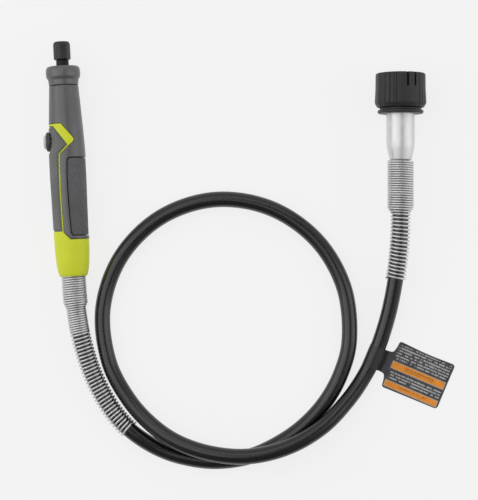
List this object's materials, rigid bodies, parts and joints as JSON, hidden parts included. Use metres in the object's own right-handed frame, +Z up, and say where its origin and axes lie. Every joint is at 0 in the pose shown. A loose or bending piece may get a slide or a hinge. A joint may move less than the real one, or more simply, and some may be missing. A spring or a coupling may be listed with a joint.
{
  "type": "rotary tool flexible shaft handpiece",
  "caption": "Slim rotary tool handpiece with a collet nut, shaft-lock button and rubber grip, on a looped flexible drive shaft with bend springs and a threaded coupling nut.",
  "frame": {"origin": "on the surface the object lies on, under the middle of the handpiece, its bend spring and the coupling", "axes": "+Z up from the surface; +Y the way the coupling's open end points, and within 3 degrees the way the handpiece's nose points; +X from the handpiece towards the coupling"},
  "size_m": [0.2493, 0.2589, 0.0312],
  "materials": {
    "lime": "satin moulded plastic",
    "grey": "fine textured moulded plastic",
    "soft_grip": "textured soft grip",
    "dark": "satin moulded plastic",
    "steel": "machined",
    "spring_steel": "bright wire",
    "polished": "polished",
    "blackened": "black oxide",
    "brass": "turned",
    "hose": "smooth extruded sheath",
    "film": "printed film"
  },
  "bodies": {
    "handpiece": {"housing_top": "lime", "housing_bottom": "lime", "cover_top": "grey", "cover_bottom": "grey", "button_panel": "soft_grip", "grip_pad": "soft_grip", "nose_cap": "grey", "button_bezel": "dark", "lock_spring": "steel", "tail_ferrule": "steel", "rear_bearing_outer_ring": "steel", "front_bearing_outer_ring": "steel", "housing_screw_1": "blackened", "housing_screw_2": "blackened", "housing_screw_3": "blackened", "housing_screw_4": "blackened", "handpiece_spring": "spring_steel", "hose_sheath": "hose", "drive_cable": "steel", "coupling_spring": "spring_steel", "coupling_tube": "polished", "coupling_collar": "dark", "tip_bush": "brass"},
    "spindle": {"spindle": "blackened", "lock_collar": "steel", "spacer_rear": "steel", "spacer_front": "steel", "circlip": "blackened", "rear_bearing_inner_ring": "steel", "front_bearing_inner_ring": "steel"},
    "rear_cage": {"rear_bearing_cage": "brass"},
    "front_cage": {"front_bearing_cage": "brass"},
    "collet": {"collet": "steel"},
    "collet_nut": {"collet_nut": "blackened"},
    "lock_button": {"lock_button": "grey"},
    "coupling_nut": {"coupling_nut": "dark"},
    "drive_tip": {"drive_tip": "steel"},
    "tag": {"warning_tag": "film"}
  },
  "joints": [
    {"name": "spindle_spin", "type": "hinge", "parent": "handpiece", "child": "spindle", "pos_m": [-0.10169, 0.05699, 0.0111], "axis": [-0.0523, 0.9986, 0], "continuous": true},
    {"name": "rear_cage_spin", "type": "hinge", "parent": "handpiece", "child": "rear_cage", "pos_m": [-0.09952, 0.01555, 0.0111], "axis": [-0.0523, 0.9986, 0], "continuous": true},
    {"name": "front_cage_spin", "type": "hinge", "parent": "handpiece", "child": "front_cage", "pos_m": [-0.10375, 0.09644, 0.0111], "axis": [-0.0523, 0.9986, 0], "continuous": true},
    {"name": "drive_tip_spin", "type": "hinge", "parent": "handpiece", "child": "drive_tip", "pos_m": [0.09967, 0.085, 0.01565], "axis": [0, 1, 0], "continuous": true},
    {"name": "collet_slide", "type": "slide", "parent": "spindle", "child": "collet", "axis": [-0.0523, 0.9986, 0], "range_m": [0, 0.00225]},
    {"name": "collet_nut_turn", "type": "hinge", "parent": "collet", "child": "collet_nut", "pos_m": [-0.10467, 0.11391, 0.0111], "axis": [-0.0523, 0.9986, 0], "range_deg": [0, 1080]},
    {"name": "lock_button_press", "type": "slide", "parent": "handpiece", "child": "lock_button", "axis": [0.9986, 0.0523, 0], "range_m": [0, 0.0015], "stiffness_N_per_m": 500, "springref_m": -0.001, "deforming": ["lock_spring"]},
    {"name": "coupling_nut_spin", "type": "hinge", "parent": "handpiece", "child": "coupling_nut", "pos_m": [0.09967, 0.09, 0.01565], "axis": [0, 1, 0], "continuous": true},
    {"name": "tag_swing", "type": "hinge", "parent": "handpiece", "child": "tag", "pos_m": [0.0844, -0.0715, 0.0055], "axis": [-0.3907, -0.9205, 0], "range_deg": [0, 120]}
  ],
  "couplings": [
    {"joint": "rear_cage_spin", "follows": "spindle_spin", "ratio": 0.424},
    {"joint": "front_cage_spin", "follows": "spindle_spin", "ratio": 0.424},
    {"joint": "drive_tip_spin", "follows": "spindle_spin", "ratio": -1},
    {"joint": "collet_nut_turn", "follows": "collet_slide", "rad_per_m": 8377.6}
  ]
}
